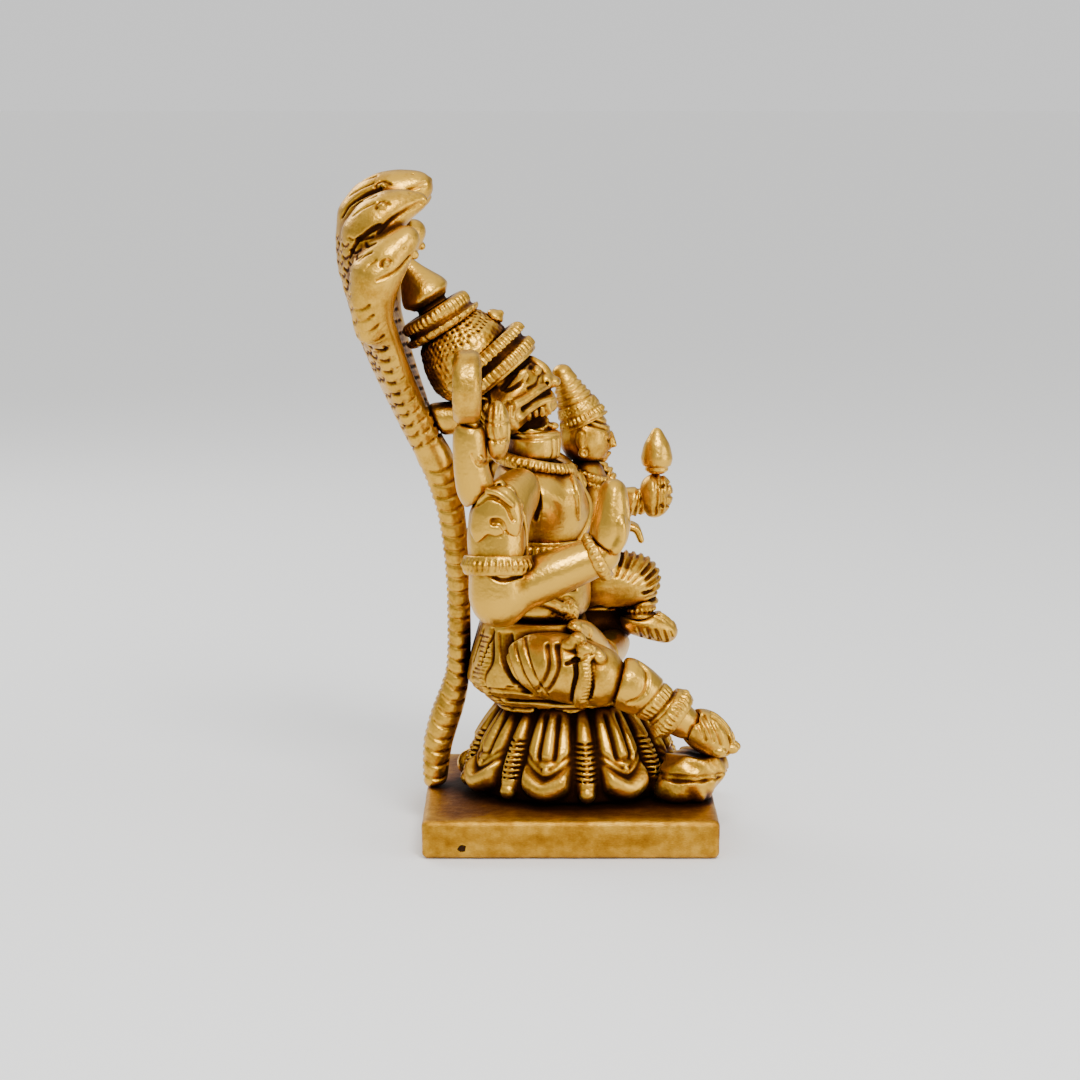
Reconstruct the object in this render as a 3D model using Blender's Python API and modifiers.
"""Cast brass idol: a lion-headed deity seated on a lotus pedestal with a consort on the left knee,
under the hood of a five-headed serpent.

+X is the front, -Y the deity's right side, +Z up; the origin is the middle of the underside.
The sculptor's proportions below are in millimetres; real() turns them into metres at the sizes asked for.
"""

import math

import bmesh
import bpy
import numpy as np
from mathutils import Matrix, Vector
from mathutils.bvhtree import BVHTree

MM = 0.001

# Driving sizes, in millimetres.
PLINTH_LENGTH = 52.0
PLINTH_WIDTH = 55.0
PLINTH_HEIGHT = 6.7
LOTUS_HEIGHT = 15.3
SEAT_HEIGHT = 16.5
TORSO_HEIGHT = 27.0
CANOPY_HEIGHT = 52.8
FIGURE_DEPTH = 60.0
FIGURE_WIDTH = 50.0
PETALS = 8
GAP = 0.3
NEEDLE = 0.01

# The same sizes as the proportions are drawn, in millimetres.
DRAWN_PLINTH = (52.0, 55.0)
DRAWN_FIGURE = (60.0, 50.0)
DRAWN_LEVELS = np.cumsum([0.0, 6.7, 15.3, 16.5, 27.0, 52.8])
LEVELS = np.cumsum([0.0, PLINTH_HEIGHT, LOTUS_HEIGHT, SEAT_HEIGHT, TORSO_HEIGHT, CANOPY_HEIGHT])

SIDES = 10
RIGHT = -1
LEFT = 1


def clear_scene():
    for obj in list(bpy.data.objects):
        bpy.data.objects.remove(obj, do_unlink=True)


def new_collection(name):
    made = bpy.data.collections.new(name)
    bpy.context.scene.collection.children.link(made)
    return made


def real(point):
    """A drawn point in metres: base widths follow the plinth, the rest follow the figure, heights follow the levels."""
    x, y, z = point
    share = np.interp(z, DRAWN_LEVELS[2:4], (0.0, 1.0))
    along = (1 - share) * PLINTH_LENGTH / DRAWN_PLINTH[0] + share * FIGURE_DEPTH / DRAWN_FIGURE[0]
    across = (1 - share) * PLINTH_WIDTH / DRAWN_PLINTH[1] + share * FIGURE_WIDTH / DRAWN_FIGURE[1]
    return Vector((x * along, y * across, float(np.interp(z, DRAWN_LEVELS, LEVELS)))) * MM


# Shapes. Each function returns a bmesh in drawn millimetres.


def from_mesh(mesh):
    bm = bmesh.new()
    bm.from_mesh(mesh)
    return bm


def evaluated_mesh(obj):
    """The mesh that the object's modifiers make; the object itself is removed."""
    graph = bpy.context.evaluated_depsgraph_get()
    mesh = bpy.data.meshes.new_from_object(obj.evaluated_get(graph), depsgraph=graph)
    bpy.data.objects.remove(obj, do_unlink=True)
    return mesh


def scratch_object(mesh):
    obj = bpy.data.objects.new("scratch", mesh)
    bpy.context.scene.collection.objects.link(obj)
    return obj


def placed(bm, centre, stretch=(1, 1, 1), lean=0.0, roll=0.0):
    """Stretches, leans back by lean degrees about Y, rolls by roll degrees about X, and moves."""
    move = Matrix.Translation(centre)
    turn = Matrix.Rotation(math.radians(roll), 4, "X") @ Matrix.Rotation(-math.radians(lean), 4, "Y")
    bm.transform(move @ turn @ Matrix.Diagonal((*stretch, 1)))
    return bm


def ball(centre, radii, lean=0.0, roll=0.0, segments=12, rings=7):
    bm = bmesh.new()
    bmesh.ops.create_uvsphere(bm, u_segments=segments, v_segments=rings, radius=1)
    return placed(bm, centre, radii, lean, roll)


def block(centre, size, edge, foot=1.0):
    """A box with rounded edges, its foot narrower than its top."""
    bm = bmesh.new()
    bmesh.ops.create_cube(bm, size=1)
    for vert in bm.verts:
        narrow = foot if vert.co.z < 0 else 1.0
        vert.co = Vector((vert.co.x * narrow * size[0], vert.co.y * narrow * size[1], vert.co.z * size[2]))
    bmesh.ops.bevel(bm, geom=list(bm.edges), offset=edge, segments=2, profile=0.5, affect="EDGES")
    bm.transform(Matrix.Translation(centre))
    return bm


def turned(profile, centre, stretch=(1, 1, 1), lean=0.0, roll=0.0, steps=16):
    """A profile of (radius, height) points, top to bottom, turned about its axis."""
    mesh = bpy.data.meshes.new("profile")
    points = [(radius, 0, height) for radius, height in profile]
    mesh.from_pydata(points, [(i, i + 1) for i in range(len(points) - 1)], [])
    obj = scratch_object(mesh)
    screw = obj.modifiers.new("turn", "SCREW")
    screw.steps = steps
    screw.render_steps = steps
    screw.use_merge_vertices = True
    screw.merge_threshold = 0.0001
    screw.use_smooth_shade = True
    return placed(from_mesh(evaluated_mesh(obj)), centre, stretch, lean, roll)


def disc(radius, thickness, edge=0.6):
    """The profile of a round plate with softened edges."""
    half = thickness / 2
    return [(0, half), (radius - edge, half), (radius, half - edge), (radius, edge - half), (radius - edge, -half), (0, -half)]


def loft(rings, start, end):
    """A closed skin over rings of equal point counts, with a point at each end. No primitive tapers and bends so."""
    bm = bmesh.new()
    first, last = bm.verts.new(start), bm.verts.new(end)
    loops = [[bm.verts.new(point) for point in ring] for ring in rings]
    count = len(loops[0])
    for i in range(count):
        j = (i + 1) % count
        bm.faces.new((first, loops[0][j], loops[0][i]))
        bm.faces.new((last, loops[-1][i], loops[-1][j]))
        for low, high in zip(loops, loops[1:]):
            bm.faces.new((low[i], low[j], high[j], high[i]))
    bmesh.ops.recalc_face_normals(bm, faces=list(bm.faces))
    return bm


def smooth_path(stations, steps):
    """Catmull-Rom points through the stations, each a row of coordinates and sizes."""
    rows = np.array(stations, float)
    padded = np.vstack([2 * rows[0] - rows[1], rows, 2 * rows[-1] - rows[-2]])
    path = []
    for a, b, c, d in zip(padded, padded[1:], padded[2:], padded[3:]):
        for t in np.arange(steps) / steps:
            path.append(0.5 * (2 * b + (c - a) * t + (2 * a - 5 * b + 4 * c - d) * t**2 + (3 * b - a - 3 * c + d) * t**3))
    path.append(rows[-1])
    return np.array(path)


def limb(stations, across=(0, 1, 0), breadth=1.0, steps=2, sides=SIDES):
    """A round-ended limb through stations (x, y, z, radius); breadth widens it along across."""
    path = smooth_path(stations, steps)
    centres, radii = path[:, :3], path[:, 3]
    tangents = np.gradient(centres, axis=0)
    tangents /= np.linalg.norm(tangents, axis=1)[:, None]
    # Each end is closed by three rings of a dome.
    ends = np.radians([30, 60])
    head = [(centres[0] - tangents[0] * radii[0] * math.sin(a), tangents[0], radii[0] * math.cos(a)) for a in ends[::-1]]
    tail = [(centres[-1] + tangents[-1] * radii[-1] * math.sin(a), tangents[-1], radii[-1] * math.cos(a)) for a in ends]
    angles = np.arange(sides) * 2 * math.pi / sides
    rings = []
    for centre, tangent, radius in head + list(zip(centres, tangents, radii)) + tail:
        wide = np.array(across, float)
        wide -= tangent * wide.dot(tangent)
        wide /= np.linalg.norm(wide)
        deep = np.cross(tangent, wide)
        rings.append([centre + radius * (math.cos(a) * breadth * wide + math.sin(a) * deep) for a in angles])
    return loft(rings, centres[0] - tangents[0] * radii[0], centres[-1] + tangents[-1] * radii[-1])


def stack(stations, centre=(0, 0, 0), lean=0.0, roll=0.0, steps=2, sides=16, square=2.0, ripple=0.0, lobes=0):
    """Level ovals (x, y, z, half length, half width), one above another; square above 2 makes them boxier."""
    rings = []
    path = smooth_path(stations, steps)
    angles = np.arange(sides) * 2 * math.pi / sides
    for x, y, z, length, width in path:
        reach = (np.abs(np.cos(angles)) ** square + np.abs(np.sin(angles)) ** square) ** (-1 / square)
        reach = reach * (1 - ripple * np.cos(lobes * angles))
        rings.append([(x + length * r * math.cos(a), y + width * r * math.sin(a), z) for a, r in zip(angles, reach)])
    return placed(loft(rings, path[0][:3], path[-1][:3]), centre, (1, 1, 1), lean, roll)


def hoop(centre, radius, thickness, stretch=(1, 1, 1), lean=0.0, roll=0.0, segments=16, sides=5):
    """A ring of round section about its own axis."""
    bpy.ops.mesh.primitive_torus_add(
        major_segments=segments, minor_segments=sides, major_radius=radius, minor_radius=thickness
    )
    return placed(from_mesh(evaluated_mesh(bpy.context.object)), centre, stretch, lean, roll)


# Pieces, in the order in which they were set: each one is trimmed to sit against those before it.

PIECES = []


def piece(name, bm, finish="polished"):
    PIECES.append((name, bm, finish))


def base():
    size = (*DRAWN_PLINTH, DRAWN_LEVELS[1])
    piece("plinth", block((0, 0, size[2] / 2), size, 0.8, foot=0.975), "filed")
    lotus = [
        (0.5, 0, 5.4, 19.6, 17.4),
        (0.5, 0, 7.4, 20.6, 18.4),
        (0.5, 0, 9.6, 21.2, 18.9),
        (0.3, 0, 12.4, 20.6, 18.4),
        (0.0, 0, 16.5, 18.2, 16.3),
        (0.0, 0, 20.0, 15.4, 13.9),
        (0.5, 0, 23.4, 13.0, 12.0),
    ]
    piece("lotus_pedestal", stack(lotus, steps=1, sides=6 * PETALS, ripple=0.045, lobes=PETALS), "antique")
    cushion = [(0, 0, 21.9, 10.0, 11.5), (0, 0, 22.9, 11.0, 12.6), (0, 0, 26.6, 11.4, 13.0), (0, 0, 28.0, 10.4, 12.0)]
    piece("seat_cushion", stack(cushion, steps=1, sides=20, square=2.6), "antique")
    seat = [
        (-7.0, 0, 22.6, 5.6, 11.0),
        (-6.2, 0, 27.4, 12.2, 14.6),
        (-6.3, 0, 31.5, 11.4, 14.6),
        (-6.6, 0, 38.4, 9.1, 12.8),
    ]
    piece("seat_block", stack(seat, steps=1, sides=24, square=3.2), "antique")
    rest = [(19.6, -9.5, 5.6, 5.2, 5.4), (19.8, -9.5, 8.4, 5.8, 6.2), (21.6, -9.5, 12.0, 6.6, 6.4), (22.6, -9.5, 15.0, 5.4, 5.2)]
    piece("footrest", stack(rest, steps=1, sides=14, square=2.4), "antique")


def deity_body():
    hips = [(-5.6, 0, 36.6, 7.6, 10.5), (-5.2, 0, 40.5, 9.0, 11.6), (-4.8, 0, 45.5, 8.4, 9.8), (-4.8, 0, 50.0, 7.4, 8.8)]
    piece("hips", stack(hips, sides=16))
    chest = [
        (-4.8, 0, 47.6, 6.6, 8.2),
        (-4.6, 0, 52.5, 7.8, 9.4),
        (-4.6, 0, 58.0, 8.6, 11.2),
        (-6.4, 0, 62.6, 7.4, 11.6),
        (-7.4, 0, 66.4, 5.0, 6.0),
    ]
    piece("chest", stack(chest, sides=16))
    piece("waist_belt", stack([(-4.7, 0, 48.2, 8.6, 9.9), (-4.7, 0, 50.6, 9.3, 10.7), (-4.7, 0, 53.0, 8.8, 10.2)], steps=1, lean=0), "antique")
    piece("lion_beard", stack([(-7.4, 0, 64.6, 4.8, 5.2), (-6.4, 0, 68.0, 4.7, 5.2), (-6.2, 0, 71.8, 4.6, 5.0)], steps=1))
    piece("necklace", hoop((-6.6, 0, 66.2), 6.6, 1.3, (1, 1.12, 1), lean=-12), "antique")


def deity_head():
    skull = [(-10.0, 0, 77.6, 7.4), (-8.6, 0, 77.6, 7.2), (-6.9, 0, 77.2, 6.0), (-5.8, 0, 76.6, 3.6)]
    piece("lion_head", limb(skull, steps=1, sides=14))
    for name, side in (("right", RIGHT), ("left", LEFT)):
        piece(f"lion_ear_{name}", ball((-10.8, side * 7.2, 75.8), (2.5, 1.8, 3.1)), "antique")
    bands = [(0, 2.9), (7.8, 2.9), (8.5, 2.2), (8.5, 0.8), (7.9, 0.2), (7.7, -0.2), (8.2, -0.8), (8.2, -2.2), (7.5, -2.9), (0, -2.9)]
    piece("diadem", turned(bands, (-13.8, 0, 84.0), lean=40), "antique")
    dome = [(0, 5.0), (4.8, 4.9), (6.4, 3.8), (7.9, 0.4), (8.5, -3.4), (7.8, -5.8), (6.0, -7.6), (0, -8.2)]
    piece("crown_dome", turned(dome, (-19.2, 0, 86.6), lean=36), "antique")
    piece("crown_jewel", ball((-13.7, 0, 91.7), (1.8, 2.0, 1.8)), "antique")
    rings = [(0, 2.1), (6.0, 2.1), (6.7, 1.6), (6.7, 0.6), (6.4, 0.1), (7.3, -0.4), (7.4, -1.5), (6.6, -2.1), (0, -2.1)]
    piece("crown_rings", turned(rings, (-23.3, 0, 91.8), lean=32), "antique")
    cone = [(0, 8.0), (1.3, 7.4), (2.2, 5.2), (4.2, 1.6), (4.5, 0.4), (3.2, -0.8), (3.0, -2.4), (0, -2.6)]
    piece("crown_finial", turned(cone, (-25.4, 0, 95.6), lean=32))


def rear_arm(name, side):
    """The raised arm behind: it grows out of the shoulder and holds its emblem upright."""
    arm = [(-12.0, side * 12.0, 61.5, 3.6), (-15.6, side * 17.4, 62.0, 3.7), (-17.2, side * 19.6, 67.0, 3.1), (-17.5, side * 20.0, 73.2, 3.0)]
    piece(f"{name}_rear_arm", limb(arm, across=(1, 0, 0)))
    piece(f"{name}_rear_fingers", ball((-12.7, side * 19.4, 74.0), (2.3, 2.8, 5.4)), "antique")


def front_upper_arm(name, side, elbow):
    arm = [(-9.0, side * 11.5, 62.4, 4.2), (-12.4, side * 17.6, 58.4, 5.5), (-12.6, side * 19.8, 51.0, 5.1), elbow]
    piece(f"{name}_upper_arm", limb(arm, across=(1, 0, 0)))
    piece(f"{name}_armlet", hoop((-12.6, side * 19.8, 50.6), 5.4, 1.1, (1, 1, 1.5), roll=side * 6), "antique")


def deity_arms():
    front_upper_arm("right", RIGHT, (-12.4, -20.0, 44.9, 5.4))
    front_upper_arm("left", LEFT, (-10.2, 20.2, 44.6, 4.8))
    rear_arm("right", RIGHT)
    rear_arm("left", LEFT)
    piece("chakra_disc", turned(disc(6.4, 4.6, 0.9), (-17.9, -20.0, 81.5), lean=90))
    conch = [(0, 7.0), (1.2, 6.4), (2.6, 3.6), (3.9, 0.4), (3.2, -3.0), (1.5, -5.8), (0, -6.4)]
    piece("conch", turned(conch, (-17.8, 20.0, 81.4), steps=14))
    piece("right_arm_leaf", ball((-12.8, -22.2, 58.0), (4.6, 2.4, 6.8), lean=-8), "antique")
    piece("right_forearm", limb([(-10.0, -19.6, 46.0, 4.3), (-3.0, -19.0, 48.9, 4.2), (5.4, -17.6, 52.0, 3.4)]))
    palm = [(6.2, -17.4, 53.6, 3.2), (7.0, -17.2, 57.4, 3.5), (7.4, -17.0, 62.8, 2.5)]
    piece("right_hand", limb(palm, breadth=1.3))
    piece("right_bangle", hoop((4.6, -17.8, 51.6), 3.6, 1.1, lean=-62), "antique")
    piece("left_forearm", limb([(-8.6, 20.6, 45.4, 4.0), (-1.0, 21.0, 48.4, 3.6), (6.4, 19.4, 51.0, 2.9)]))
    piece("left_bangle", hoop((3.8, 20.1, 50.1), 3.2, 1.0, lean=-70), "antique")


def deity_legs():
    thigh = [(-9.0, -9.5, 32.6, 6.0), (-3.0, -13.6, 31.6, 6.3), (4.4, -14.8, 30.0, 5.6)]
    piece("right_thigh", limb(thigh, sides=12), "antique")
    shin = [(5.0, -14.8, 29.4, 4.6), (9.8, -14.8, 28.6, 4.9), (14.6, -14.0, 25.4, 4.0), (20.4, -12.8, 21.0, 3.0)]
    piece("right_shin", limb(shin))
    piece("right_anklet", hoop((17.9, -13.3, 22.9), 3.8, 1.3, (1, 1, 1.3), lean=53), "antique")
    foot = [(21.0, -12.6, 20.6, 3.2), (24.0, -11.8, 19.4, 3.8), (26.0, -11.2, 17.6, 3.5)]
    piece("right_foot", limb(foot, breadth=1.25), "antique")
    piece("left_thigh", limb([(-7.0, 9.5, 34.6, 6.2), (1.6, 14.4, 35.2, 5.8), (8.4, 16.2, 34.8, 4.5)], sides=12), "antique")
    piece("left_shin", limb([(8.4, 14.8, 31.6, 3.4), (7.0, 7.4, 30.0, 3.4), (5.2, -1.0, 31.2, 3.0)], across=(1, 0, 0)))
    piece("left_foot", limb([(4.6, -3.6, 33.2, 2.6), (2.4, -8.6, 36.6, 2.4), (0.6, -12.6, 38.0, 1.8)], across=(1, 0, 0)), "antique")


def consort():
    skirt = [(0.6, 11.8, 42.0, 5.8), (7.6, 12.2, 42.8, 5.7), (12.0, 12.4, 42.8, 5.1)]
    piece("consort_skirt", limb(skirt, breadth=1.2, sides=14), "antique")
    piece("consort_legs", limb([(13.4, 12.6, 40.6, 3.7), (12.9, 12.4, 37.4, 3.3)], breadth=1.4), "antique")
    piece("consort_feet", limb([(12.0, 12.2, 35.6, 3.0), (14.9, 12.2, 34.7, 3.0), (17.8, 12.2, 33.3, 2.4)], breadth=1.5))
    torso = [(2.4, 12, 44.6, 4.4, 5.6), (2.8, 12, 51.0, 3.9, 4.8), (3.4, 12, 57.0, 4.9, 5.8), (3.0, 12, 62.4, 3.6, 5.2), (3.0, 12, 65.0, 2.4, 2.6)]
    piece("consort_torso", stack(torso, sides=14))
    piece("consort_head", ball((3.0, 12, 69.3), (4.8, 4.7, 5.4), lean=8), "antique")
    crown = [(0, 8.6), (1.5, 8.2), (2.1, 7.0), (2.3, 5.6), (2.7, 5.3), (2.8, 3.9), (3.2, 3.6), (3.4, 2.2), (4.4, 1.8), (4.9, 0.5), (4.9, -1.8), (0, -2.4)]
    piece("consort_crown", turned(crown, (2.6, 12, 75.0), lean=27), "antique")
    piece("consort_left_arm", limb([(5.8, 16.2, 61.4, 3.0), (8.0, 18.2, 56.4, 3.0), (12.8, 16.4, 56.8, 2.7)], across=(1, 0, 0)))
    piece("consort_fist", ball((15.9, 15.2, 58.0), (3.4, 3.2, 4.2), lean=-10), "antique")
    bud = [(0, 4.6), (0.7, 4.2), (2.3, 1.4), (2.9, -1.2), (2.4, -3.0), (1.2, -4.0), (1.1, -6.0), (0, -6.2)]
    piece("lotus_bud", turned(bud, (16.2, 15.2, 66.1), steps=14))
    piece("consort_right_arm", limb([(1.6, 7.2, 61.2, 2.4), (-2.6, 8.6, 64.8, 2.3), (-8.0, 9.6, 66.0, 2.1)]))


def serpent_head(name, *stations):
    piece(name, limb(stations, breadth=1.15))


def serpent():
    body = [
        (-24.5, 0, 6.4, 2.1),
        (-24.0, 0, 14.6, 2.6),
        (-22.0, 0, 21.4, 2.7),
        (-20.2, 0, 28.0, 2.2),
        (-20.0, 0, 38.0, 2.1),
        (-20.3, 0, 48.0, 2.2),
        (-21.5, 0, 58.0, 2.5),
        (-23.9, 0, 66.6, 3.1),
    ]
    piece("serpent_body", limb(body, breadth=1.3), "antique")
    piece("serpent_hood", hood())
    serpent_head("serpent_head_centre", (-38.2, 0, 101.0, 3.0), (-37.0, 0, 109.6, 4.6), (-32.4, 0, 113.9, 4.2), (-27.2, 0, 115.1, 3.0))
    for name, side in (("right", RIGHT), ("left", LEFT)):
        upper = [
            (-37.0, side * 7.6, 98.0, 2.8),
            (-35.8, side * 9.0, 106.8, 4.5),
            (-31.0, side * 8.9, 111.6, 3.6),
            (-26.2, side * 8.4, 113.0, 1.5),
        ]
        lower = [(-34.8, side * 13.6, 91.0, 2.8), (-33.8, side * 15.0, 100.4, 4.6), (-28.4, side * 14.4, 106.6, 2.4)]
        serpent_head(f"serpent_head_{name}_upper", *upper)
        serpent_head(f"serpent_head_{name}_lower", *lower)
    piece("hood_strut", limb([(-26.6, 0, 73.6, 3.0), (-17.0, 0, 74.4, 3.0)]))


def hood():
    """A spread hood: a broad sheet along the neck whose edges curl forward."""
    stations = [
        (-24.4, 67.4, 3.6, 5.4, 0.0),
        (-27.2, 73.0, 6.6, 5.6, 0.8),
        (-30.8, 80.4, 11.4, 5.6, 2.4),
        (-34.2, 88.0, 15.6, 5.6, 4.0),
        (-36.8, 95.6, 18.4, 5.4, 5.2),
        (-38.2, 103.0, 17.6, 5.2, 5.2),
        (-38.0, 108.6, 11.0, 4.4, 2.6),
    ]
    path = smooth_path(stations, 2)
    slope = np.gradient(path[:, :2], axis=0)
    slope /= np.linalg.norm(slope, axis=1)[:, None]
    half = 8
    spread = np.concatenate([np.linspace(-1, 1, half + 1)[1:], np.linspace(1, -1, half + 1)[1:]])
    sign = np.repeat((1, -1), half)
    rings = []
    for (x, z, width, thick, curl), (run, rise) in zip(path, slope):
        push = curl * spread**2 + sign * thick / 2 * np.sqrt(np.maximum(0, 1 - spread**4))
        rings.append([(x + rise * n, width * s, z - run * n) for n, s in zip(push, spread)])
    first, last = path[0], path[-1]
    return loft(rings, (first[0], 0, first[1]), (last[0], 0, last[1]))


# Fitting the pieces together.


def grown(bm, amount):
    """A copy of the shape swollen evenly by amount."""
    copy = bm.copy()
    copy.normal_update()
    moves = [vert.normal * vert.calc_shell_factor() * amount for vert in copy.verts]
    for vert, move in zip(copy.verts, moves):
        vert.co += move
    return copy


def mesh_of(name, bm):
    mesh = bpy.data.meshes.new(name)
    bm.to_mesh(mesh)
    return mesh


def islands(bm):
    """The separate closed bodies of a mesh, as lists of vertices."""
    left = set(bm.verts)
    found = []
    while left:
        group, todo = set(), [left.pop()]
        while todo:
            vert = todo.pop()
            group.add(vert)
            for edge in vert.link_edges:
                other = edge.other_vert(vert)
                if other in left:
                    left.discard(other)
                    todo.append(other)
        found.append(list(group))
    return found


def extent(verts):
    points = np.array([vert.co for vert in verts])
    return float(np.prod(np.ptp(points, axis=0)))


def cleaned(bm):
    """The largest body of a trimmed shape, without crumbs or needle faces."""
    bmesh.ops.remove_doubles(bm, verts=list(bm.verts), dist=NEEDLE * MM)
    bmesh.ops.dissolve_degenerate(bm, edges=list(bm.edges), dist=NEEDLE * MM)
    groups = sorted(islands(bm), key=extent)
    for group in groups[:-1]:
        bmesh.ops.delete(bm, geom=group, context="VERTS")
    bmesh.ops.triangulate(bm, faces=list(bm.faces))
    bmesh.ops.recalc_face_normals(bm, faces=list(bm.faces))
    return bm


def is_closed(bm):
    return bool(bm.faces) and all(len(edge.link_faces) == 2 for edge in bm.edges)


def difference(bm, swollen):
    obj = scratch_object(mesh_of("trimmed", bm))
    cutter = scratch_object(mesh_of("cutter", swollen))
    trim = obj.modifiers.new("trim", "BOOLEAN")
    trim.operation = "DIFFERENCE"
    trim.solver = "EXACT"
    trim.object = cutter
    result = cleaned(from_mesh(evaluated_mesh(obj)))
    bpy.data.objects.remove(cutter, do_unlink=True)
    return result


def trimmed(bm, other):
    """The shape cut back to stand about GAP clear of the other one.

    A cut that comes out torn is tried again with a clearance up to 1.3 times GAP, and each such widening is printed.
    If all of them are torn the last one goes on to the next cut, and the build refuses the piece if it ends up torn.
    """
    for clearance in GAP * np.array((1.0, 1.05, 1.1, 1.2, 1.3)):
        result = difference(bm, grown(other, clearance * MM))
        if is_closed(result) and result.calc_volume() > 0:
            if clearance > GAP:
                print(f"clearance widened to {clearance:.3f} mm")
            return result
    print("every clearance up to 1.3 times GAP left this cut torn")
    return result


COLOURS = {
    "polished": ((0.72, 0.50, 0.19), 0.30),
    "filed": ((0.62, 0.44, 0.18), 0.42),
    "antique": ((0.56, 0.36, 0.11), 0.40),
}


def brass(name, finish):
    colour, roughness = COLOURS[finish]
    material = bpy.data.materials.new(name + "_brass")
    material.use_nodes = True
    shader = material.node_tree.nodes["Principled BSDF"]
    shader.inputs["Base Color"].default_value = (*colour, 1)
    shader.inputs["Metallic"].default_value = 1.0
    shader.inputs["Roughness"].default_value = roughness
    return material


def shade(obj, name, finish):
    obj.data.materials.clear()
    obj.data.materials.append(brass(name, finish))
    for polygon in obj.data.polygons:
        polygon.use_smooth = name != "plinth"
    obj.data.set_sharp_from_angle(angle=math.radians(40))


def centred(obj):
    """Moves the object's origin to the middle of its piece."""
    points = np.array([vert.co for vert in obj.data.vertices])
    middle = Vector((points.min(axis=0) + points.max(axis=0)) / 2)
    obj.data.transform(Matrix.Translation(-middle))
    obj.location = middle


def assemble(statue):
    earlier = []
    for name, bm, finish in PIECES:
        for vert in bm.verts:
            vert.co = real(vert.co)
        bmesh.ops.recalc_face_normals(bm, faces=list(bm.faces))
        shape = bm.copy()
        for other in earlier:
            if BVHTree.FromBMesh(shape).overlap(BVHTree.FromBMesh(grown(other, GAP * MM))):
                shape = trimmed(shape, other)
        obj = bpy.data.objects.new(name, mesh_of(name, shape))
        statue.objects.link(obj)
        shade(obj, name, finish)
        centred(obj)
        earlier.append(bm)


def main():
    clear_scene()
    statue = new_collection("lion_deity_statue")
    base()
    deity_body()
    deity_head()
    deity_arms()
    deity_legs()
    consort()
    serpent()
    assemble(statue)


main()
